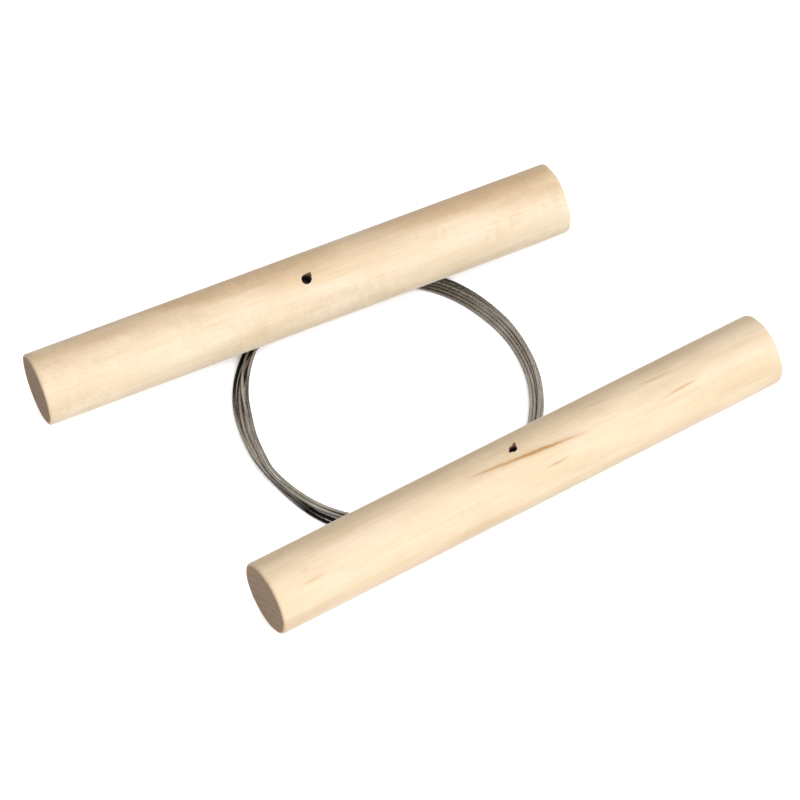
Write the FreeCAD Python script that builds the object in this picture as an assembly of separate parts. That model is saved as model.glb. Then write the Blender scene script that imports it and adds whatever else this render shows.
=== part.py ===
import FreeCAD, Part
import math
import os

# A wire clay cutter: two plain dowel handles joined by one long twisted steel wire, which is
# wound into a loose coil for storage. The handles lie across the coil. Each end of the wire
# goes up through a hole in the middle of a handle and is held there by a crimped ferrule.
#
# Millimetres and degrees. The origin is the middle of the coil, on the surface that it lies on.
# +X runs along the handles, +Y from the front handle to the rear one, and +Z up.

# Handles. The top of the bore leans to the front by the tilt, or to the rear if it is negative,
# and its offset is along the handle.
HANDLE_LENGTH = 130.0
HANDLE_RADIUS = 8.5
END_ROUNDING = 0.5
HANDLES = {
    "rear": {"centre": (-6.8, 29.5), "skew": -3.1, "bore_tilt": 20.0, "bore_offset": 0.4},
    "front": {"centre": (12.4, -37.8), "skew": 3.1, "bore_tilt": -5.4, "bore_offset": -1.3},
}

# Stepped hole through each handle: wide for the ferrule, narrow for the wire
FERRULE_BORE_RADIUS = 1.15
FERRULE_BORE_DEPTH = 7.0
WIRE_BORE_RADIUS = 0.7
MOUTH_FLARE = 0.4

# Twisted wire and the ferrule crimped on each of its ends
WIRE_RADIUS = 0.4
WIRE_TAIL = 0.6
FERRULE_RADIUS = 1.05
FERRULE_LENGTH = 3.5
CRIMP_DEPTH = 0.2
CRIMP_LENGTH = 1.6

# Coil of loose turns: an oval ring whose long axis points a little right of +Y
COIL_LONG_RADIUS = 35.45
COIL_SHORT_RADIUS = 33.15
COIL_BEARING = 76.5
COIL_WIDTH = 3.8
COIL_HEIGHT = 2.3
COIL_TOP_WIDTH = 1.2
HANDLE_GAP = 0.3

# Where the free wire meets the handles
LEAD_IN_BORE = 0.5
LEAD_GAP = 0.1

# Each bend of the free wire takes up this part of the shorter run beside it
BEND_SHARE = 0.45

HANDLE_HEIGHT = COIL_HEIGHT + HANDLE_GAP + HANDLE_RADIUS
UP = FreeCAD.Vector(0, 0, 1)
ALONG = FreeCAD.Vector(1, 0, 0)
ORIGIN = FreeCAD.Vector(0, 0, 0)

# The free wire between each bore and the coil, as the corners of its route.
# The rear end drops out of its leaning bore, turns left and settles onto the coil.
REAR_LEAD = [
    (-6.27, 32.22, 3.57),
    (-6.23, 32.62, 2.44),
    (-7.06, 32.98, 1.66),
    (-9.15, 33.25, 1.35),
    (-11.10, 32.90, 1.25),
]
# The front end leaves the coil on the left, swings wide and climbs into its own bore, which
# leans a little to the rear.
FRONT_LEAD = [
    (-31.60, -14.20, 0.42),
    (-28.90, -22.40, 0.42),
    (-22.10, -30.60, 0.42),
    (-12.30, -36.50, 0.42),
    (-3.00, -39.00, 0.42),
    (3.60, -39.25, 0.42),
    (7.50, -39.15, 0.42),
    (9.98, -38.95, 0.42),
    (11.15, -38.77, 1.57),
    (11.14, -38.62, 3.14),
]


def dowel(bore_offset):
    """A round bar along X whose bore belongs at the origin, with softly rounded end edges."""
    left = ALONG * (-HANDLE_LENGTH / 2 - bore_offset)
    bar = Part.makeCylinder(HANDLE_RADIUS, HANDLE_LENGTH, left, ALONG)
    rims = [edge for edge in bar.Edges if isinstance(edge.Curve, Part.Circle)]
    return bar.makeFillet(END_ROUNDING, rims)


def stepped_bore():
    """What the drill takes out of a handle, with its axis on Z and its wide end up."""
    ferrule_floor = HANDLE_RADIUS - FERRULE_BORE_DEPTH
    beyond = 1.0
    narrow = Part.makeCylinder(
        WIRE_BORE_RADIUS, ferrule_floor + HANDLE_RADIUS + beyond, -UP * (HANDLE_RADIUS + beyond)
    )
    wide = Part.makeCylinder(
        FERRULE_BORE_RADIUS, FERRULE_BORE_DEPTH + beyond, UP * ferrule_floor
    )
    flare = Part.makeCone(
        WIRE_BORE_RADIUS + MOUTH_FLARE, WIRE_BORE_RADIUS, MOUTH_FLARE, -UP * HANDLE_RADIUS
    )
    return narrow.fuse([wide, flare])


def handle(bore_offset):
    return dowel(bore_offset).cut(stepped_bore())


def ferrule():
    """A short sleeve squeezed onto the wire, standing on the step of the bore."""
    foot = HANDLE_RADIUS - FERRULE_BORE_DEPTH
    outline = [
        (WIRE_RADIUS, foot),
        (FERRULE_RADIUS, foot),
        (FERRULE_RADIUS, foot + (FERRULE_LENGTH - CRIMP_LENGTH) / 2),
        (FERRULE_RADIUS - CRIMP_DEPTH, foot + (FERRULE_LENGTH - CRIMP_LENGTH) / 2 + CRIMP_DEPTH),
        (FERRULE_RADIUS - CRIMP_DEPTH, foot + (FERRULE_LENGTH + CRIMP_LENGTH) / 2 - CRIMP_DEPTH),
        (FERRULE_RADIUS, foot + (FERRULE_LENGTH + CRIMP_LENGTH) / 2),
        (FERRULE_RADIUS, foot + FERRULE_LENGTH),
        (WIRE_RADIUS, foot + FERRULE_LENGTH),
    ]
    corners = [FreeCAD.Vector(radius, 0, height) for radius, height in outline]
    section = Part.Face(Part.makePolygon(corners + corners[:1]))
    return section.revolve(ORIGIN, UP, 360)


def wire_end():
    """The stretch of wire inside a handle, from just above the mouth to past the ferrule."""
    low = LEAD_IN_BORE + LEAD_GAP - HANDLE_RADIUS
    high = HANDLE_RADIUS - FERRULE_BORE_DEPTH + FERRULE_LENGTH + WIRE_TAIL
    return Part.makeCylinder(WIRE_RADIUS, high - low, UP * low)


def in_place(shape, centre, skew, bore_tilt, bore_offset):
    """Moves a piece made about an upright bore at the origin to where its handle lies."""
    moved = shape.translated(ALONG * bore_offset)
    moved.rotate(ORIGIN, ALONG, bore_tilt)
    moved.rotate(ORIGIN, UP, skew)
    moved.translate(FreeCAD.Vector(centre[0], centre[1], HANDLE_HEIGHT))
    return moved


def oval(long_radius, short_radius, height):
    curve = Part.Ellipse(ORIGIN, long_radius, short_radius)
    wire = Part.Wire(curve.toShape())
    wire.rotate(ORIGIN, UP, COIL_BEARING)
    wire.translate(UP * height)
    return wire


def mound(grow, top_grow):
    """A solid oval disc with upright sides one wire high and sloping sides above."""
    base = oval(COIL_LONG_RADIUS + grow, COIL_SHORT_RADIUS + grow, 0)
    shoulder = oval(COIL_LONG_RADIUS + grow, COIL_SHORT_RADIUS + grow, 2 * WIRE_RADIUS)
    top = oval(COIL_LONG_RADIUS + top_grow, COIL_SHORT_RADIUS + top_grow, COIL_HEIGHT)
    disc = Part.makeLoft([base, shoulder], True, True)
    return disc.fuse(Part.makeLoft([shoulder, top], True, True))


def coil():
    """The outer shape of all the turns together, as one closed ring."""
    outer = mound(COIL_WIDTH / 2, COIL_TOP_WIDTH / 2)
    inner = mound(-COIL_WIDTH / 2, -COIL_TOP_WIDTH / 2)
    return outer.cut(inner).removeSplitter()


def tube(name, corners):
    """A round wire along straight runs joined by tangent arcs, as large as the runs allow."""
    points = [FreeCAD.Vector(*corner) for corner in corners]
    edges = []
    start = points[0]
    radii = []
    for before, corner, after in zip(points, points[1:], points[2:]):
        run_in = corner - before
        run_out = after - corner
        half_turn = run_in.getAngle(run_out) / 2
        cut = BEND_SHARE * min(run_in.Length, run_out.Length)
        radii.append(cut / math.tan(half_turn))
        way_in = FreeCAD.Vector(run_in).normalize()
        way_out = FreeCAD.Vector(run_out).normalize()
        arc_start = corner - way_in * cut
        arc_end = corner + way_out * cut
        towards_centre = FreeCAD.Vector(way_out - way_in).normalize()
        to_apex = radii[-1] * (1 / math.cos(half_turn) - 1)
        arc_middle = corner + towards_centre * to_apex
        edges.append(Part.LineSegment(start, arc_start).toShape())
        edges.append(Part.Arc(arc_start, arc_middle, arc_end).toShape())
        start = arc_end
    edges.append(Part.LineSegment(start, points[-1]).toShape())
    path = Part.Wire(edges)
    profile = Part.Wire(Part.makeCircle(WIRE_RADIUS, points[0], points[1] - points[0]))
    solid = path.makePipeShell([profile], True, False)
    expected = math.pi * WIRE_RADIUS**2 * path.Length
    print(
        f"{name}: length {path.Length:.2f}, volume ratio {solid.Volume / expected:.4f},"
        f" smallest radius {min(radii):.2f}, radii {[round(radius, 1) for radius in radii]}"
    )
    return solid


def save(name, shape):
    solid = shape.Solids[0]
    print(f"{name}: valid {solid.isValid()}, solids {len(shape.Solids)}, {solid.Volume:.1f} mm3")
    solid.exportStep(f"parts/{name}.step")


def build():
    os.makedirs("parts", exist_ok=True)
    for side, place in HANDLES.items():
        save(f"{side}_handle", in_place(handle(place["bore_offset"]), **place))
        save(f"{side}_ferrule", in_place(ferrule(), **place))
        save(f"{side}_wire_end", in_place(wire_end(), **place))
    save("wire_coil", coil())
    save("rear_lead", tube("rear_lead", REAR_LEAD))
    save("front_lead", tube("front_lead", FRONT_LEAD))


build()
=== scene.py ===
import math

import bpy
import numpy as np
from mathutils import Matrix, Vector
from mathutils import noise


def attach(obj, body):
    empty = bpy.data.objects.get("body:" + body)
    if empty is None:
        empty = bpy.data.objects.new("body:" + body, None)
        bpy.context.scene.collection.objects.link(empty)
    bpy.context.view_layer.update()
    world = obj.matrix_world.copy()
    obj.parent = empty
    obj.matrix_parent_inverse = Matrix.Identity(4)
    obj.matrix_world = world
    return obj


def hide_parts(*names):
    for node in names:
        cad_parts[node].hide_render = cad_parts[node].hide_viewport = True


# Looks of the wire clay cutter: two dowel handles and the long twisted wire that joins them,
# wound into a coil under them.
#
# Lengths are in millimetres until MM turns them into metres, and angles are in degrees. +X runs
# along the handles, +Y from the front handle to the rear one, and +Z up from the middle of the
# coil on the surface that it lies on.

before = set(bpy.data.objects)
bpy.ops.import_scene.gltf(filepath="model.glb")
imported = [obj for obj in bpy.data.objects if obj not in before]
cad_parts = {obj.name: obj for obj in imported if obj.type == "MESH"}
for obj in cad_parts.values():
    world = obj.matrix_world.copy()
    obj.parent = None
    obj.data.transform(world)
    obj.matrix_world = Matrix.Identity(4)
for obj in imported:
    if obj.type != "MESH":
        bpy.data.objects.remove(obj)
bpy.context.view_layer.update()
MM = 0.001
MM_PER_METRE = 1000

# Camera. Its azimuth is counted from the front towards the right.
LOOK_AT = Vector((2.52, -0.91, 0.0))
CAMERA_DISTANCE = 943.2
CAMERA_AZIMUTH = -28.45
CAMERA_ELEVATION = 53.39
SENSOR_WIDTH = 36.0
LENS = 187.43

# Handles and what is in them, as in the design. The bore goes through the middle of the dowel.
# Its top leans to the front by the tilt, and its offset is along the handle.
HANDLE_LENGTH = 130.0
HANDLE_RADIUS = 8.5
HANDLE_HEIGHT = 11.1
HANDLES = {
    "rear": {"centre": (-6.8, 29.5), "skew": -3.1, "bore_tilt": 20.0, "bore_offset": 0.4},
    "front": {"centre": (12.4, -37.8), "skew": 3.1, "bore_tilt": -5.4, "bore_offset": -1.3},
}
FERRULE_BORE_RADIUS = 1.15
FERRULE_BORE_DEPTH = 7.0
WIRE_BORE_RADIUS = 0.7
FERRULE_LENGTH = 3.5
WIRE_TAIL = 0.6
WIRE_END_ABOVE_MOUTH = 0.6

# Twisted wire: one straight strand and six that go once round it in each lay
WIRE_RADIUS = 0.4
STRAND_RADIUS = WIRE_RADIUS / 3
OUTER_STRANDS = 6
POINTS_PER_STRAND = 6
LAY = 7.2
RING_STEP = 0.5

# Corners of the wire's route between each bore and the coil. A spline rounds them.
REAR_LEAD = [
    (-6.27, 32.22, 3.57),
    (-6.23, 32.62, 2.44),
    (-7.06, 32.98, 1.80),
    (-9.15, 33.25, 1.62),
    (-11.10, 32.90, 1.60),
]
FRONT_LEAD = [
    (-31.95, -14.35, 0.42),
    (-28.90, -22.10, 0.42),
    (-22.10, -30.60, 0.42),
    (-12.30, -36.50, 0.55),
    (-3.00, -39.00, 0.90),
    (3.60, -39.25, 1.15),
    (7.50, -39.15, 1.05),
    (9.98, -38.95, 0.75),
    (11.15, -38.77, 1.57),
    (11.14, -38.62, 3.14),
]

# Turns between the leads, counter-clockwise seen from above. Each row is one turn, from the top
# of the coil to the bottom, and holds the wire's distance from the middle at these bearings,
# which are counted from +X. The last row stops where the front lead begins.
BEARINGS = [120, 133, 146, 158, 175, 193, 210, 225, 255, 300, 330, 355, 380, 400, 435]
TURNS = [
    [33.5, 32.9, 32.2, 31.25, 31.55, 33.3, 33.35, 33.4, 34.15, 34.1, 34.2, 34.3, 34.85, 35.8, 35.6],
    [34.4, 34.6, 33.1, 32.1, 32.4, 34.05, 34.2, 34.4, 35.0, 35.0, 34.85, 34.95, 35.9, 37.2, 36.6],
    [35.7, 35.3, 35.05, 34.65, 34.25, 34.35, 33.85, 33.9, 33.4, 32.8, 32.35, 32.15, 32.2, 33, 33.6],
    [33.0, 33.6, 33.7, 33.4, 33.55, 33.6, 33.0, 33.0, 33.15, 33.5, 33.15, 33.0, 33.2, 34.0, 34.3],
    [33.9, 33.4, 33.2, 33.0, 33.25, 33.2, 34.5, 35.3, 35.85, 34.2, 33.9, 33.85, 34.2, 35.0, 35.1],
    [34.8, 34.3, 34.1, 33.85, 34.1, 34.05, 34.9],
]
BEARING_STEP = 10
LAST_BEARING = BEARINGS[0] + 5 * 360 + 75
# Height of a wire's middle on the floor, and the closest that two wires' middles come
WIRE_ON_FLOOR = 0.42
WIRE_SPACING = 0.84
SETTLING_ROUNDS = 4


# ---------------------------------------------------------------- helpers


def linear(red, green, blue):
    """Linear colour of an sRGB one given from 0 to 255."""
    parts = []
    for value in (red, green, blue):
        share = value / 255
        parts.append(share / 12.92 if share <= 0.04045 else ((share + 0.055) / 1.055) ** 2.4)
    return (*parts, 1.0)


def mesh_object(name, points, faces, matrix=None):
    """A mesh piece from points in millimetres."""
    mesh = bpy.data.meshes.new(name)
    mesh.from_pydata([tuple(MM * value for value in point) for point in points], [], faces)
    mesh.update()
    piece = bpy.data.objects.new(name, mesh)
    bpy.context.scene.collection.objects.link(piece)
    if matrix is not None:
        piece.matrix_world = matrix
    return piece


def tube_faces(rings, around):
    """Faces of an open tube whose points come ring by ring, with as many around each."""
    return [
        (
            ring * around + place,
            ring * around + (place + 1) % around,
            (ring + 1) * around + (place + 1) % around,
            (ring + 1) * around + place,
        )
        for ring in range(rings - 1)
        for place in range(around)
    ]


def closed_tube_faces(rings, around):
    """The same with a flat face at each end."""
    first = tuple(reversed(range(around)))
    last = tuple(range((rings - 1) * around, rings * around))
    return tube_faces(rings, around) + [first, last]


def smooth(piece, angle):
    """Smooth shading with hard edges where faces meet at more than the angle."""
    piece.data.polygons.foreach_set("use_smooth", [True] * len(piece.data.polygons))
    piece.data.set_sharp_from_angle(angle=math.radians(angle))


def bearing_vector(azimuth, elevation):
    """Direction towards a bearing that is counted from the front towards the right."""
    turn = math.radians(azimuth)
    rise = math.radians(elevation)
    return Vector((
        math.sin(turn) * math.cos(rise), -math.cos(turn) * math.cos(rise), math.sin(rise)
    ))


def aimed(name, data, location, back):
    """An object in the scene that looks against the direction back."""
    item = bpy.data.objects.new(name, data)
    item.location = location
    item.rotation_mode = "QUATERNION"
    item.rotation_quaternion = (-back).to_track_quat("-Z", "Y")
    bpy.context.scene.collection.objects.link(item)
    return item


# ---------------------------------------------------------------- camera


def make_camera():
    back = bearing_vector(CAMERA_AZIMUTH, CAMERA_ELEVATION)
    data = bpy.data.cameras.new("camera")
    data.sensor_width = SENSOR_WIDTH
    data.lens = LENS
    data.clip_start = 0.01
    data.clip_end = 20.0
    location = (LOOK_AT + back * CAMERA_DISTANCE) * MM
    bpy.context.scene.camera = aimed("camera", data, location, back)


# ---------------------------------------------------------------- wire


def turn_radius(bearing):
    """Distance of the wire from the middle of the coil at a bearing that counts on over turns."""
    stations = [
        (station + 360 * turn, radius)
        for turn, row in enumerate(TURNS)
        for station, radius in zip(BEARINGS, row)
    ]
    for (start, first), (end, second) in zip(stations, stations[1:]):
        if bearing <= end:
            share = (bearing - start) / (end - start)
            return first + (second - first) * share * share * (3 - 2 * share)
    return stations[-1][1]


def stacked(radii, per_turn):
    """Heights of the turns: each one lies on the floor or on the turns below it.

    Between rounds of laying them, the wire's own stiffness evens out its heights.
    """
    heights = [WIRE_ON_FLOOR] * len(radii)
    for settling in range(SETTLING_ROUNDS):
        if settling:
            padded = heights[:1] + heights + heights[-1:]
            heights = [
                max(WIRE_ON_FLOOR, (before + 2 * here + after) / 4)
                for before, here, after in zip(padded, padded[1:], padded[2:])
            ]
        for upper in reversed(range(len(radii))):
            for lower in range(upper + per_turn, len(radii), per_turn):
                across = abs(radii[upper] - radii[lower])
                if across < WIRE_SPACING:
                    on_top = heights[lower] + math.sqrt(WIRE_SPACING**2 - across**2)
                    heights[upper] = max(heights[upper], on_top)
    return heights


def coil_points():
    """The turns as corners of the route, which stand out a little as the spline rounds them."""
    bearings = range(BEARINGS[0], LAST_BEARING + 1, BEARING_STEP)
    radii = [turn_radius(bearing) for bearing in bearings]
    heights = stacked(radii, 360 // BEARING_STEP)
    stand_out = 1 + (1 - math.cos(math.radians(BEARING_STEP))) / 4
    return [
        (
            radius * stand_out * math.cos(math.radians(bearing)),
            radius * stand_out * math.sin(math.radians(bearing)),
            height,
        )
        for bearing, radius, height in zip(bearings, radii, heights)
    ]


def spline_line(route):
    """Points along the smooth line of the route, in millimetres."""
    data = bpy.data.curves.new("route", "CURVE")
    data.dimensions = "3D"
    data.resolution_u = 16
    spline = data.splines.new("NURBS")
    spline.points.add(len(route) - 1)
    for control, point in zip(spline.points, route):
        control.co = (*point, 1.0)
    spline.order_u = 3
    spline.use_endpoint_u = True
    guide = bpy.data.objects.new("route", data)
    line_mesh = bpy.data.meshes.new_from_object(guide)
    line = np.array([vertex.co for vertex in line_mesh.vertices])
    bpy.data.objects.remove(guide)
    bpy.data.curves.remove(data)
    bpy.data.meshes.remove(line_mesh)
    return line


def evenly(line, step):
    """The same line with its points a step apart, and its length."""
    travelled = np.concatenate([[0], np.cumsum(np.linalg.norm(np.diff(line, axis=0), axis=1))])
    length = travelled[-1]
    places = np.linspace(0, length, int(round(length / step)) + 1)
    spaced = np.stack([np.interp(places, travelled, line[:, axis]) for axis in range(3)], 1)
    return spaced, length


def strand_section():
    """Outline across the twisted wire: one arc for each outer strand, from groove to groove.

    It comes with each point's depth in the groove, from 0 on a crest to 1.
    """
    outline = []
    groove = []
    centre_radius = WIRE_RADIUS - STRAND_RADIUS
    crest_to_groove = math.radians(120)
    for strand in range(OUTER_STRANDS):
        middle = math.tau * strand / OUTER_STRANDS
        for count in range(POINTS_PER_STRAND):
            share = 2 * count / POINTS_PER_STRAND - 1
            swing = crest_to_groove * share
            outline.append((
                centre_radius * math.cos(middle) + STRAND_RADIUS * math.cos(middle + swing),
                centre_radius * math.sin(middle) + STRAND_RADIUS * math.sin(middle + swing),
            ))
            groove.append(abs(share) ** 2)
    return outline, groove


def twisted_wire(name, centres):
    """A closed tube with the fluted, twisted surface of the stranded wire along the centres."""
    outline, groove = strand_section()
    ways = np.gradient(centres, axis=0)
    ways /= np.linalg.norm(ways, axis=1)[:, None]
    side = Vector(ways[0]).orthogonal().normalized()
    points = []
    travelled = 0.0
    for index, (centre, way) in enumerate(zip(centres, ways)):
        if index:
            travelled += np.linalg.norm(centre - centres[index - 1])
        way = Vector(way)
        side = (side - way * side.dot(way)).normalized()
        other = way.cross(side)
        turn = math.tau * travelled / LAY
        cosine, sine = math.cos(turn), math.sin(turn)
        for across, up in outline:
            points.append(
                Vector(centre)
                + side * (across * cosine - up * sine)
                + other * (across * sine + up * cosine)
            )
    piece = mesh_object(name, points, closed_tube_faces(len(centres), len(outline)))
    depth = piece.data.attributes.new("groove", "FLOAT", "POINT")
    depth.data.foreach_set("value", np.tile(groove, len(centres)).astype(np.float32))
    smooth(piece, 60)
    return piece


def make_wire(steel):
    """The free wire, from the mouth of one bore to the mouth of the other."""
    route = REAR_LEAD + coil_points() + FRONT_LEAD
    centres, length = evenly(spline_line(route), RING_STEP)
    wire = twisted_wire("twisted_wire", centres)
    wire.data.materials.append(steel)
    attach(wire, "wire")
    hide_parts("wire_coil", "rear_lead", "front_lead")
    print(f"wire length {length:.1f} mm, highest at {centres[:, 2].max():.2f} mm")


# ---------------------------------------------------------------- handles


def handle_place(centre, skew):
    """Matrix from the handle's own frame, with its axis on X, to where it lies."""
    return (
        Matrix.Translation(Vector((centre[0], centre[1], HANDLE_HEIGHT)) * MM)
        @ Matrix.Rotation(math.radians(skew), 4, "Z")
    )


def bore_place(centre, skew, bore_tilt, bore_offset):
    """Matrix from a piece made about an upright bore to where that bore is."""
    return (
        handle_place(centre, skew)
        @ Matrix.Rotation(math.radians(bore_tilt), 4, "X")
        @ Matrix.Translation(Vector((bore_offset * MM, 0, 0)))
    )


# Points round a dowel, rings across each of its ends, and steps in each rounded edge
ROUND = 144
END_RINGS = 22
EDGE_STEPS = 5
LEFT_ROUNDING = 0.5
RIGHT_ROUNDING = 0.9
# Evenly spaced stations between the rounded edges, and their distance from the ends
SIDE_STATIONS = 127
SIDE_INSET = 1.7
# How far the dowels are out of round, slowly and finely, and how hollow their ends are
SLOW_UNEVENNESS = 0.05
FINE_UNEVENNESS = 0.012
END_HOLLOW = 0.05
END_RELIEF = 0.01
# The left ends are sawn out of square, so that they face a little this way in Y and Z
SAW_WAY = (0.55, -0.84)
# Each handle's seed for the noise, the slope of its left end, the depth of the chips in its right
# edge, the radius of its bore's mouth, which torn fibres close in, and the splinters missing from
# that mouth, each as bearing, spread and length
WEAR = {
    "rear": {
        "seed": 3.0, "lean": 0.022, "chipping": 0.3, "mouth": 1.1, "torn": [(42, 20, 0.95)],
    },
    "front": {
        "seed": 8.0, "lean": 0.004, "chipping": 0.12, "mouth": 0.8,
        "torn": [(50, 16, 1.45), (198, 16, 0.7)],
    },
}
POINTS_ROUND_BORE = 40


def rounded_end(rounding):
    """Stations of a left end as pairs of place along X and inset from the full radius."""
    turns = [math.pi / 2 * count / EDGE_STEPS for count in range(EDGE_STEPS + 1)]
    return [
        (-HANDLE_LENGTH / 2 + rounding * (1 - math.cos(turn)), rounding * (1 - math.sin(turn)))
        for turn in turns
    ]


def dowel_profile():
    """Stations along the whole dowel, in the same form."""
    inner = HANDLE_LENGTH / 2 - SIDE_INSET
    middle = [(float(x), 0.0) for x in np.linspace(-inner, inner, SIDE_STATIONS)]
    right = [(-x, inset) for x, inset in reversed(rounded_end(RIGHT_ROUNDING))]
    return rounded_end(LEFT_ROUNDING) + middle + right


def dowel_rings(stations, seed, lean, chipping):
    """Points round the dowel at each station, turned a little unevenly, with worn edges."""
    points = []
    for x, inset in stations:
        for count in range(ROUND):
            angle = math.tau * count / ROUND
            place = Vector((x * 0.035, 2.2 * math.cos(angle), 2.2 * math.sin(angle)))
            relief = 0.5 + 0.5 * noise.noise(place + Vector((seed, 0, 0)))
            fine = 0.5 + 0.5 * noise.noise(place * 6 + Vector((seed, 9, 0)))
            rim = Vector((seed, 3 * math.cos(angle), 3 * math.sin(angle)))
            wear = min(inset * (1 + 0.5 * noise.noise(rim)), 1.2)
            radius = HANDLE_RADIUS - wear - SLOW_UNEVENNESS * relief - FINE_UNEVENNESS * fine
            y = radius * math.cos(angle)
            z = radius * math.sin(angle)
            if inset and x < 0:
                x_here = x + lean * (HANDLE_RADIUS + SAW_WAY[0] * y + SAW_WAY[1] * z)
            elif inset:
                x_here = x - chipping * max(0.0, noise.noise(rim * 0.8) + 0.1)
            else:
                x_here = x
            points.append((x_here, y, z))
    return points


def add_end(points, faces, first, sign, seed):
    """Closes the dowel over the ring that starts at a point, with a slightly hollow sawn face.

    The sign is -1 for the left end and 1 for the right one.
    """
    outer = list(range(first, first + ROUND))
    rim = [points[index] for index in outer]
    middle_x = sum(point[0] for point in rim) / ROUND - sign * END_HOLLOW
    for ring in range(1, END_RINGS):
        share = 1 - ring / END_RINGS
        inner = []
        for count in range(ROUND):
            x, y, z = rim[count]
            x, y, z = middle_x + (x - middle_x) * share, y * share, z * share
            growth = math.sin(2.9 * math.hypot(y + 31, z + 22 * sign))
            saw = noise.noise(Vector((y * 0.6, z * 2.5, seed + sign)))
            inner.append(len(points))
            depth = 2 * END_RELIEF + END_RELIEF * growth + END_RELIEF * saw
            points.append((x - sign * depth, y, z))
        for count in range(ROUND):
            after = (count + 1) % ROUND
            quad = (outer[count], outer[after], inner[after], inner[count])
            faces.append(quad if sign < 0 else tuple(reversed(quad)))
        outer = inner
    tip = len(points)
    points.append((middle_x - sign * 2 * END_RELIEF, 0, 0))
    for count in range(ROUND):
        fan = (outer[count], outer[(count + 1) % ROUND], tip)
        faces.append(fan if sign < 0 else tuple(reversed(fan)))


def dowel(wear):
    """A round bar along X, with its left end sawn out of square and its right edge chipped.

    It comes with how many of its faces are on the side; the ends' faces follow.
    """
    stations = dowel_profile()
    points = dowel_rings(stations, wear["seed"], wear["lean"], wear["chipping"])
    faces = [(a, d, c, b) for a, b, c, d in tube_faces(len(stations), ROUND)]
    side_faces = len(faces)
    add_end(points, faces, 0, -1, wear["seed"])
    add_end(points, faces, (len(stations) - 1) * ROUND, 1, wear["seed"])
    return points, faces, side_faces


def bore_cutter(name, wear, matrix):
    """Solid that the drill takes out: wide above for the ferrule, narrow below, ragged rims."""
    step = HANDLE_RADIUS - FERRULE_BORE_DEPTH
    mouth = wear["mouth"]
    # Height, radius and raggedness of each ring, from below the handle to above it. A splinter
    # has its full length where the raggedness is 0.2.
    profile = [
        (-HANDLE_RADIUS - 1.0, WIRE_BORE_RADIUS + 0.45, 0.12),
        (-HANDLE_RADIUS + 0.1, WIRE_BORE_RADIUS + 0.3, 0.12),
        (-HANDLE_RADIUS + 0.5, WIRE_BORE_RADIUS, 0.03),
        (step, WIRE_BORE_RADIUS, 0.0),
        (step, FERRULE_BORE_RADIUS, 0.0),
        (HANDLE_RADIUS - 1.4, FERRULE_BORE_RADIUS, 0.0),
        (HANDLE_RADIUS - 0.7, mouth, 0.04),
        (HANDLE_RADIUS - 0.3, mouth + 0.02, 0.12),
        (HANDLE_RADIUS + 0.1, mouth + 0.06, 0.2),
        (HANDLE_RADIUS + 1.0, mouth + 0.12, 0.3),
    ]
    points = []
    for height, radius, ragged in profile:
        for count in range(POINTS_ROUND_BORE):
            angle = math.tau * count / POINTS_ROUND_BORE
            around = Vector((2.4 * math.cos(angle), 2.4 * math.sin(angle), wear["seed"]))
            jag = noise.noise(around)
            reach = radius + ragged * (0.4 + jag)
            for bearing, spread, length in wear["torn"]:
                off = math.degrees(math.remainder(angle - math.radians(bearing), math.tau))
                reach += 5 * ragged * length * math.exp(-((off / spread) ** 2))
            points.append((reach * math.cos(angle), reach * math.sin(angle), height))
    return mesh_object(name, points, closed_tube_faces(len(profile), POINTS_ROUND_BORE), matrix)


def make_handle(side, woods):
    """A bored dowel. The woods are those of its side, its bore and its ends, in that order."""
    place = HANDLES[side]
    points, faces, side_faces = dowel(WEAR[side])
    matrix = handle_place(place["centre"], place["skew"])
    handle = mesh_object(f"{side}_dowel", points, faces, matrix)
    cutter = bore_cutter(f"{side}_cutter", WEAR[side], bore_place(**place))
    for piece in (handle, cutter):
        for wood in woods:
            piece.data.materials.append(wood)
    indices = [0] * side_faces + [2] * (len(faces) - side_faces)
    handle.data.polygons.foreach_set("material_index", indices)
    cutter.data.polygons.foreach_set("material_index", [1] * len(cutter.data.polygons))
    bpy.context.view_layer.update()
    cut = handle.modifiers.new("bore", "BOOLEAN")
    cut.operation = "DIFFERENCE"
    cut.solver = "EXACT"
    cut.object = cutter
    graph = bpy.context.evaluated_depsgraph_get()
    bored = bpy.data.meshes.new_from_object(handle.evaluated_get(graph))
    handle.modifiers.clear()
    handle.data = bored
    bpy.data.objects.remove(cutter)
    smooth(handle, 38)
    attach(handle, f"{side}_handle")
    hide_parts(f"{side}_handle")


def make_wire_end(side, metal):
    """The end of the wire inside a handle, up through its ferrule."""
    low = -HANDLE_RADIUS + WIRE_END_ABOVE_MOUTH
    high = HANDLE_RADIUS - FERRULE_BORE_DEPTH + FERRULE_LENGTH + WIRE_TAIL
    centres = np.array([(0.0, 0.0, z) for z in np.linspace(low, high, 40)])
    piece = twisted_wire(f"{side}_wire_strands", centres)
    piece.matrix_world = bore_place(**HANDLES[side])
    piece.data.materials.append(metal)
    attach(piece, f"{side}_handle")
    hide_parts(f"{side}_wire_end")


# ---------------------------------------------------------------- materials


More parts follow.
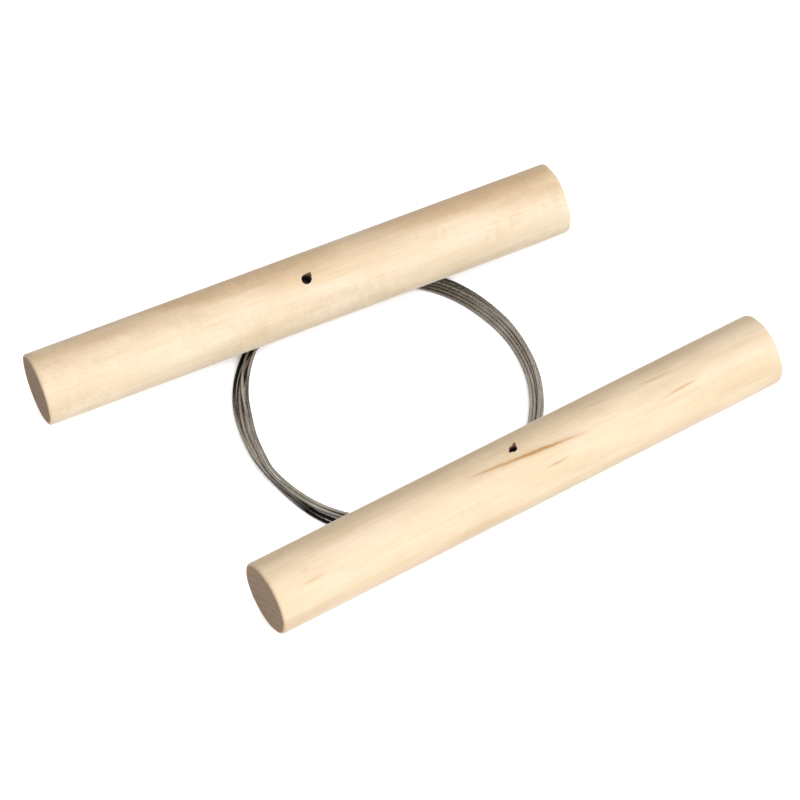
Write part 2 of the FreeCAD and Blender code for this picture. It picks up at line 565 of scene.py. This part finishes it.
class Nodes:
    """Short calls for building a material's node tree."""

    def __init__(self, name):
        self.material = bpy.data.materials.new(name)
        self.material.use_nodes = True
        self.tree = self.material.node_tree
        self.shader = self.tree.nodes["Principled BSDF"]
        self.place = self.add("ShaderNodeTexCoord").outputs["Object"]

    def add(self, kind, **settings):
        node = self.tree.nodes.new(kind)
        for name, value in settings.items():
            setattr(node, name, value)
        return node

    def link(self, source, socket):
        self.tree.links.new(source, socket)

    def feed(self, node, inputs):
        for name, value in inputs.items():
            if isinstance(value, bpy.types.NodeSocket):
                self.link(value, node.inputs[name])
            else:
                node.inputs[name].default_value = value

    def scaled(self, scale, shift=(0, 0, 0)):
        """Object coordinates with each axis in cycles per millimetre."""
        node = self.add("ShaderNodeMapping")
        self.link(self.place, node.inputs["Vector"])
        node.inputs["Scale"].default_value = [MM_PER_METRE * value for value in scale]
        node.inputs["Location"].default_value = shift
        return node.outputs["Vector"]

    def noise(self, vector, detail=3.0, roughness=0.55, distortion=0.0):
        node = self.add("ShaderNodeTexNoise")
        self.feed(node, {
            "Vector": vector, "Scale": 1.0, "Detail": detail,
            "Roughness": roughness, "Distortion": distortion,
        })
        return node.outputs["Fac"]

    def ramp(self, value, *stops):
        """Colours or grey levels at places from 0 to 1."""
        node = self.add("ShaderNodeValToRGB")
        elements = node.color_ramp.elements
        while len(elements) < len(stops):
            elements.new(0.5)
        for element, (place, colour) in zip(elements, stops):
            element.position = place
            element.color = colour if isinstance(colour, tuple) else (colour, colour, colour, 1)
        self.link(value, node.inputs["Fac"])
        return node.outputs["Color"]

    def mix(self, share, first, second, blend="MIX"):
        node = self.add("ShaderNodeMix", data_type="RGBA", blend_type=blend)
        for index, value in ((0, share), (6, first), (7, second)):
            socket = node.inputs[index]
            if isinstance(value, bpy.types.NodeSocket):
                self.link(value, socket)
            else:
                socket.default_value = value
        return node.outputs[2]

    def math(self, operation, first, second=0.0, clamp=False):
        node = self.add("ShaderNodeMath", operation=operation, use_clamp=clamp)
        for socket, value in zip(node.inputs, (first, second)):
            if isinstance(value, bpy.types.NodeSocket):
                self.link(value, socket)
            else:
                socket.default_value = value
        return node.outputs[0]

    def bump(self, height, distance, strength=1.0, under=None):
        node = self.add("ShaderNodeBump")
        node.inputs["Distance"].default_value = distance * MM
        node.inputs["Strength"].default_value = strength
        self.link(height, node.inputs["Height"])
        if under is not None:
            self.link(under, node.inputs["Normal"])
        return node.outputs["Normal"]


# Pale wood of each handle: its two tones, where its noise starts, and the strengths of the ring
# sweeps, of the cross-grain ripple, of the fine speckle and of the flecks at the left
WOODS = {
    "rear": {
        "tones": (linear(160, 145, 121), linear(168, 155, 136)), "shift": (0, 0, 0),
        "sweep": 0.62, "ripple": 1.0, "speckle": 0.975, "flecks": 0.32,
    },
    "front": {
        "tones": (linear(154, 137, 112), linear(162, 147, 126)), "shift": (5, 11, 3),
        "sweep": 0.35, "ripple": 0.4, "speckle": 0.985, "flecks": 0.08,
    },
}
FLECKS_EVERYWHERE = 0.06
# Mineral streaks in the front handle, in millimetres along it from its middle and round it from
# the top to the front: from, to, around at each end, bow, width, strength
STREAKS = [
    (-15.0, 16.5, 0.75, 3.6, 0.0, 1.40, 0.30),
    (-14.0, 15.0, 0.85, 3.5, 0.0, 0.55, 0.80),
    (-3.5, 9.5, 1.85, 3.0, -0.05, 0.52, 0.95),
    (3.0, 10.0, 6.75, 6.45, 0.15, 0.42, 0.62),
    (32.0, 45.0, 4.8, 4.0, -0.10, 0.50, 0.32),
    (36.5, 43.5, 4.4, 4.1, -0.05, 0.40, 0.45),
    (31.5, 40.5, -0.9, -0.3, 0.10, 0.42, 0.45),
    (16.5, 25.5, -2.4, -1.3, 0.10, 0.45, 0.28),
    (-58.5, -52.5, 5.4, 5.2, 0.10, 0.60, 0.35),
    (-58.0, -55.0, 2.9, 2.7, 0.00, 0.60, 0.18),
    (-63.5, -57.5, -3.7, -3.4, 0.00, 0.60, 0.28),
]
STREAK_COLOUR = linear(120, 82, 33)
# Darker sweeps where growth rings run out of the surface: from, to, around at each end, softness
# of the edge
SWEEPS = {
    "rear": [
        (-46.0, 22.0, -6.0, 6.0, 2.5),
        (12.0, 85.0, -4.0, 6.3, 2.5),
        (-66.0, -40.0, -9.0, 1.0, 7.0),
    ],
    "front": [(-34.0, -8.0, -9.0, -1.5, 5.0), (12.0, 60.0, -9.0, 0.5, 6.0)],
}


def surface_places(nodes):
    """Places on a dowel in millimetres: along its axis, and round it from the top to the front."""
    parts = nodes.add("ShaderNodeSeparateXYZ")
    nodes.link(nodes.place, parts.inputs[0])
    along = nodes.math("MULTIPLY", parts.outputs["X"], MM_PER_METRE)
    forward = nodes.math("MULTIPLY", parts.outputs["Y"], -1)
    angle = nodes.math("ARCTAN2", forward, parts.outputs["Z"])
    return along, nodes.math("MULTIPLY", angle, HANDLE_RADIUS)


def wandering(nodes, value, scale, amount):
    """The value with a slow random wander added, so that marks aren't ruled lines."""
    wander = nodes.noise(nodes.scaled(scale), detail=3.0)
    offset = nodes.math("MULTIPLY", nodes.math("SUBTRACT", wander, 0.5), amount)
    return nodes.math("ADD", value, offset)


def streak(nodes, along, around, start, end, first, last, bow, width, strength):
    """A thin mineral streak in the wood, tapering to nothing at both ends."""
    share = nodes.math("DIVIDE", nodes.math("SUBTRACT", along, start), end - start, clamp=True)
    rest = nodes.math("SUBTRACT", 1.0, share)
    taper = nodes.math("MULTIPLY", nodes.math("MULTIPLY", share, rest), 4.0)
    line = nodes.math("ADD", nodes.math("MULTIPLY", share, last - first), first)
    line = nodes.math("ADD", line, nodes.math("MULTIPLY", taper, bow))
    away = nodes.math("ABSOLUTE", nodes.math("SUBTRACT", around, line))
    reach = nodes.math("MULTIPLY", nodes.math("SQRT", taper), width)
    inside = nodes.math("DIVIDE", nodes.math("SUBTRACT", reach, away), width, clamp=True)
    return nodes.math("MULTIPLY", inside, strength)


def sweep(nodes, along, around, start, end, first, last, soft):
    """A broad darker patch whose lower edge slants down to the right and fades out there."""
    share = nodes.math("DIVIDE", nodes.math("SUBTRACT", along, start), end - start, clamp=True)
    rest = nodes.math("SUBTRACT", 1.0, share)
    drop = nodes.math("SUBTRACT", 1.0, nodes.math("MULTIPLY", rest, rest))
    edge = nodes.math("ADD", nodes.math("MULTIPLY", drop, last - first), first)
    above = nodes.math("DIVIDE", nodes.math("SUBTRACT", edge, around), soft, clamp=True)
    fade_in = nodes.math("MULTIPLY", share, 6.0, clamp=True)
    fade_out = nodes.math("MULTIPLY", rest, 2.5, clamp=True)
    return nodes.math("MULTIPLY", above, nodes.math("MULTIPLY", fade_in, fade_out))


def wood_colour(nodes, side, along, around):
    """Pale close-grained wood: tone, fibres, ring sweeps, cross-grain ripple and pores."""
    wood = WOODS[side]
    shift = wood["shift"]
    mottle = nodes.noise(nodes.scaled((0.045, 0.22, 0.22), shift), detail=3.0)
    grain = nodes.noise(nodes.scaled((0.035, 1.1, 1.1), shift), detail=4.0, roughness=0.6)
    fibres = nodes.noise(nodes.scaled((0.12, 4.0, 4.0), shift), detail=3.0, roughness=0.6)
    dark, light = wood["tones"]
    base = nodes.ramp(mottle, (0.32, dark), (0.68, light))
    dark_grain = nodes.ramp(grain, (0.34, linear(250, 247, 243)), (0.60, linear(255, 255, 255)))
    colour = nodes.mix(1.0, base, dark_grain, "MULTIPLY")
    colour = nodes.mix(1.0, colour, nodes.ramp(fibres, (0.3, 0.93), (0.65, 1.02)), "MULTIPLY")
    edge = wandering(nodes, around, (0.06, 0.2, 0.2), 5.0)
    if side == "rear":
        # The wood is a little darker over the top of this dowel
        upper = nodes.math("DIVIDE", nodes.math("SUBTRACT", 8.0, edge), 9.0, clamp=True)
        colour = nodes.mix(upper, colour, linear(247, 240, 232), "MULTIPLY")
    for patch in SWEEPS[side]:
        shade = nodes.math("MULTIPLY", sweep(nodes, along, edge, *patch), wood["sweep"])
        colour = nodes.mix(shade, colour, linear(240, 227, 211), "MULTIPLY")
    ripples = nodes.noise(nodes.scaled((0.50, 0.24, 0.24), (1, 5, 2)), detail=2.0, distortion=0.8)
    where = nodes.noise(nodes.scaled((0.04, 0.12, 0.12), (7, 7, 7)), detail=1.0)
    patchy = nodes.ramp(where, (0.38, 0.1), (0.56, wood["ripple"]))
    rippled = nodes.ramp(ripples, (0.38, 0.945), (0.60, 1.03))
    colour = nodes.mix(patchy, colour, rippled, "MULTIPLY")
    pores = nodes.noise(nodes.scaled((1.5, 6.5, 6.5), (3, 1, 2)), detail=1.0)
    speckle = nodes.ramp(pores, (0.36, wood["speckle"]), (0.58, 1.01))
    colour = nodes.mix(1.0, colour, speckle, "MULTIPLY")
    leftward = nodes.math("DIVIDE", nodes.math("SUBTRACT", 10.0, along), 60.0, clamp=True)
    amount = nodes.math("MULTIPLY", leftward, wood["flecks"])
    amount = nodes.math("ADD", amount, FLECKS_EVERYWHERE)
    flecks = nodes.math("MULTIPLY", nodes.ramp(pores, (0.60, 0.0), (0.70, 1.0)), amount)
    return nodes.mix(flecks, colour, linear(138, 98, 60)), fibres, pores


def wood_material(side):
    """The side of a dowel. Its sheen is the fuzz that sanding leaves on pale wood."""
    nodes = Nodes(f"{side}_wood")
    along, around = surface_places(nodes)
    colour, fibres, pores = wood_colour(nodes, side, along, around)
    if side == "front":
        line = wandering(nodes, around, (0.35, 0.0, 0.0), 0.5)
        line = wandering(nodes, line, (1.6, 3.0, 3.0), 0.35)
        for mark in STREAKS:
            colour = nodes.mix(streak(nodes, along, line, *mark), colour, STREAK_COLOUR)
    nodes.link(colour, nodes.shader.inputs["Base Color"])
    nodes.shader.inputs["Roughness"].default_value = 0.55
    nodes.shader.inputs["Specular IOR Level"].default_value = 0.35
    nodes.shader.inputs["Sheen Weight"].default_value = 0.25
    nodes.shader.inputs["Sheen Roughness"].default_value = 0.3
    grain = nodes.bump(fibres, 0.02, 0.5)
    nodes.link(nodes.bump(pores, 0.02, 0.4, under=grain), nodes.shader.inputs["Normal"])
    return nodes.material


def from_axis(nodes):
    """Square of a place's distance from the dowel's axis, as a share of the radius squared."""
    parts = nodes.add("ShaderNodeSeparateXYZ")
    nodes.link(nodes.scaled((0.0, 1.0, 1.0)), parts.inputs[0])
    across = nodes.math("MULTIPLY", parts.outputs["Y"], parts.outputs["Y"])
    upward = nodes.math("MULTIPLY", parts.outputs["Z"], parts.outputs["Z"])
    return nodes.math("DIVIDE", nodes.math("ADD", across, upward), HANDLE_RADIUS**2)


# Scale that puts the growth rings about 1.8 mm apart, and where their middle lies from each
# dowel's axis
RING_SCALE = 0.17
PITH = {"rear": (20, -26), "front": (-24, -31)}


def end_grain_material(side):
    """Sawn end of a dowel: darker, browner at the rim, with growth rings, pores and saw marks."""
    nodes = Nodes(f"{side}_end_grain")
    rings = nodes.add("ShaderNodeTexWave", wave_type="RINGS", rings_direction="X")
    shift = (0, -RING_SCALE * PITH[side][0], -RING_SCALE * PITH[side][1])
    nodes.feed(rings, {
        "Vector": nodes.scaled((0.0, RING_SCALE, RING_SCALE), shift),
        "Scale": 1.0, "Distortion": 1.0, "Detail": 2.0, "Detail Scale": 1.0,
    })
    pores = nodes.noise(nodes.scaled((0.5, 3.5, 3.5)), detail=3.0)
    saw = nodes.noise(nodes.scaled((0.5, 0.3, 4.0)), detail=2.0)
    # End grain is darker than the side, and these tones are darker still, as painted shade for the
    # left ends facing away from the lights; the right ends share them
    base = nodes.ramp(rings.outputs["Fac"], (0.1, linear(114, 96, 79)), (0.9, linear(120, 101, 83)))
    rim = nodes.ramp(from_axis(nodes), (0.68, 0.0), (0.92, 0.8))
    base = nodes.mix(rim, base, linear(140, 106, 73))
    colour = nodes.mix(1.0, base, nodes.ramp(pores, (0.35, 0.84), (0.65, 1.05)), "MULTIPLY")
    colour = nodes.mix(1.0, colour, nodes.ramp(saw, (0.35, 0.975), (0.65, 1.015)), "MULTIPLY")
    nodes.link(colour, nodes.shader.inputs["Base Color"])
    nodes.shader.inputs["Roughness"].default_value = 0.8
    nodes.shader.inputs["Specular IOR Level"].default_value = 0.2
    marks = nodes.bump(saw, 0.03, 0.6)
    nodes.link(nodes.bump(pores, 0.04, 0.6, under=marks), nodes.shader.inputs["Normal"])
    return nodes.material


def bore_shade_material():
    """Wall of a drilled hole in painted shade: nearly black inside, brown and torn at the mouth."""
    nodes = Nodes("bore_wall_shade")
    grain = nodes.noise(nodes.scaled((1.5, 1.5, 4.0)), detail=4.0)
    # Painted shade: darker the deeper a place lies in the bore, nearer the dowel's axis
    depth = nodes.ramp(from_axis(nodes), (0.80, linear(24, 13, 9)), (0.97, linear(98, 66, 42)))
    colour = nodes.mix(1.0, depth, nodes.ramp(grain, (0.3, 0.8), (0.7, 1.15)), "MULTIPLY")
    nodes.link(colour, nodes.shader.inputs["Base Color"])
    nodes.shader.inputs["Roughness"].default_value = 0.85
    nodes.link(nodes.bump(grain, 0.08), nodes.shader.inputs["Normal"])
    return nodes.material


def steel_material():
    """Bright drawn strands, with painted shade darkening the grooves between them.

    Painted shade darkens the lower turns near both handles, near the front one only at the left.
    """
    nodes = Nodes("wire_steel")
    depth = nodes.add("ShaderNodeAttribute", attribute_name="groove").outputs["Fac"]
    patches = nodes.noise(nodes.scaled((0.3, 0.3, 0.3)), detail=3.0)
    parts = nodes.add("ShaderNodeSeparateXYZ")
    nodes.link(nodes.scaled((1.0, 1.0, 1.0)), parts.inputs[0])
    x, y, z = parts.outputs
    # Mask of painted shade: the handles' shadows and their dark undersides mirrored on the low
    # turns near them
    leftward = nodes.math("DIVIDE", nodes.math("SUBTRACT", 5.0, x), 10.0, clamp=True)
    rearward = nodes.math("DIVIDE", nodes.math("SUBTRACT", y, 7.0), 12.0, clamp=True)
    forward = nodes.math("DIVIDE", nodes.math("SUBTRACT", -14.0, y), 7.0, clamp=True)
    more_left = nodes.math("ADD", nodes.math("MULTIPLY", leftward, 0.6), 0.3)
    behind = nodes.math("MULTIPLY", rearward, more_left)
    in_front = nodes.math("MULTIPLY", nodes.math("MULTIPLY", forward, leftward), 1.6)
    low = nodes.math("DIVIDE", nodes.math("SUBTRACT", 1.8, z), 0.7, clamp=True)
    near = nodes.math("MAXIMUM", behind, in_front)
    handle_shade = nodes.math("MULTIPLY", near, low, clamp=True)
    bare_steel = nodes.ramp(patches, (0.3, linear(152, 145, 133)), (0.7, linear(179, 172, 160)))
    # Painted shade: the colour darkens with the depth in the groove between strands
    colour = nodes.mix(depth, bare_steel, linear(41, 34, 28))
    # Painted shade on the lower turns near the handles
    colour = nodes.mix(handle_shade, colour, linear(34, 26, 21))
    nodes.link(colour, nodes.shader.inputs["Base Color"])
    nodes.shader.inputs["Metallic"].default_value = 1.0
    scratches = nodes.noise(nodes.scaled((6.0, 6.0, 6.0)), detail=3.0)
    nodes.link(
        nodes.ramp(scratches, (0.3, 0.24), (0.7, 0.34)), nodes.shader.inputs["Roughness"]
    )
    return nodes.material


def bore_dark_metal_material():
    """Dull dark metal of the ferrules and of the wire in them, in painted shade deep in the bores.
    """
    nodes = Nodes("bore_metal_shade")
    scuffs = nodes.noise(nodes.scaled((3.0, 3.0, 1.2)), detail=4.0)
    # Painted shade: these dark tones keep the metal deep in the bores from shining
    nodes.link(
        nodes.ramp(scuffs, (0.3, linear(34, 31, 28)), (0.7, linear(72, 66, 58))),
        nodes.shader.inputs["Base Color"],
    )
    nodes.shader.inputs["Metallic"].default_value = 1.0
    nodes.link(nodes.ramp(scuffs, (0.3, 0.5), (0.7, 0.7)), nodes.shader.inputs["Roughness"])
    nodes.link(nodes.bump(scuffs, 0.03), nodes.shader.inputs["Normal"])
    return nodes.material


# ---------------------------------------------------------------- studio


# The dome is brightest in this direction. Its strength falls evenly with the cosine of the angle
# from there, and is nothing below the cosine DOME_DARK_FROM.
BRIGHTEST = (0.4, -0.5, 0.7)
DOME_DARK_FROM = -0.381
DOME_BRIGHT = 2.9
# Softboxes: azimuth and elevation, then distance and side in metres, and power in watts
SOFTBOXES = {"key": (35, 50, 1.0, 0.5, 5.7), "fill": (-30, 15, 1.0, 0.7, 4.8)}
FLOOR_HALF_SIZE = 3000.0
FLOOR_HEIGHT = -0.02


def floor_material():
    nodes = Nodes("floor_white")
    cloud = nodes.noise(nodes.scaled((0.01, 0.01, 0.01)))
    nodes.link(nodes.ramp(cloud, (0.3, 0.90), (0.7, 0.92)), nodes.shader.inputs["Base Color"])
    nodes.shader.inputs["Roughness"].default_value = 0.9
    nodes.shader.inputs["Specular IOR Level"].default_value = 0.0
    return nodes.material


def make_floor():
    """White paper. It stays out of reflections, so that the undersides of the wires are dark."""
    corners = [
        (right * FLOOR_HALF_SIZE, rear * FLOOR_HALF_SIZE, FLOOR_HEIGHT)
        for right, rear in ((-1, -1), (1, -1), (1, 1), (-1, 1))
    ]
    floor = mesh_object("floor", corners, [(0, 1, 2, 3)])
    floor.data.materials.append(floor_material())
    floor.visible_glossy = False


def softbox(name, azimuth, elevation, distance, size, power):
    """A square light at a bearing, pointing at the middle."""
    back = bearing_vector(azimuth, elevation)
    data = bpy.data.lights.new(name, "AREA")
    data.shape = "SQUARE"
    data.size = size
    data.energy = power
    aimed(name, data, back * distance, back)


def make_lights():
    """A dome, brightest to the front right and dark to the back left, and two softboxes."""
    world = bpy.data.worlds.new("studio")
    world.use_nodes = True
    tree = world.node_tree
    direction = tree.nodes.new("ShaderNodeTexCoord")
    facing = tree.nodes.new("ShaderNodeVectorMath")
    facing.operation = "DOT_PRODUCT"
    facing.inputs[1].default_value = Vector(BRIGHTEST).normalized()
    tree.links.new(direction.outputs["Generated"], facing.inputs[0])
    spread = tree.nodes.new("ShaderNodeMapRange")
    spread.inputs["From Min"].default_value = DOME_DARK_FROM
    spread.inputs["To Max"].default_value = DOME_BRIGHT
    tree.links.new(facing.outputs["Value"], spread.inputs["Value"])
    tree.links.new(spread.outputs["Result"], tree.nodes["Background"].inputs["Strength"])
    tree.nodes["Background"].inputs["Color"].default_value = (1, 1, 1, 1)
    bpy.context.scene.world = world
    for name, settings in SOFTBOXES.items():
        softbox(name, *settings)
    bpy.context.scene.view_settings.view_transform = "Standard"


# ---------------------------------------------------------------- assembly

make_camera()
make_wire(steel_material())
bore_shade = bore_shade_material()
for side in HANDLES:
    make_handle(side, (wood_material(side), bore_shade, end_grain_material(side)))
bore_dark_metal = bore_dark_metal_material()
for side in HANDLES:
    make_wire_end(side, bore_dark_metal)
    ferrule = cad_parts[f"{side}_ferrule"]
    ferrule.data.materials.clear()
    ferrule.data.materials.append(bore_dark_metal)
make_floor()
make_lights()
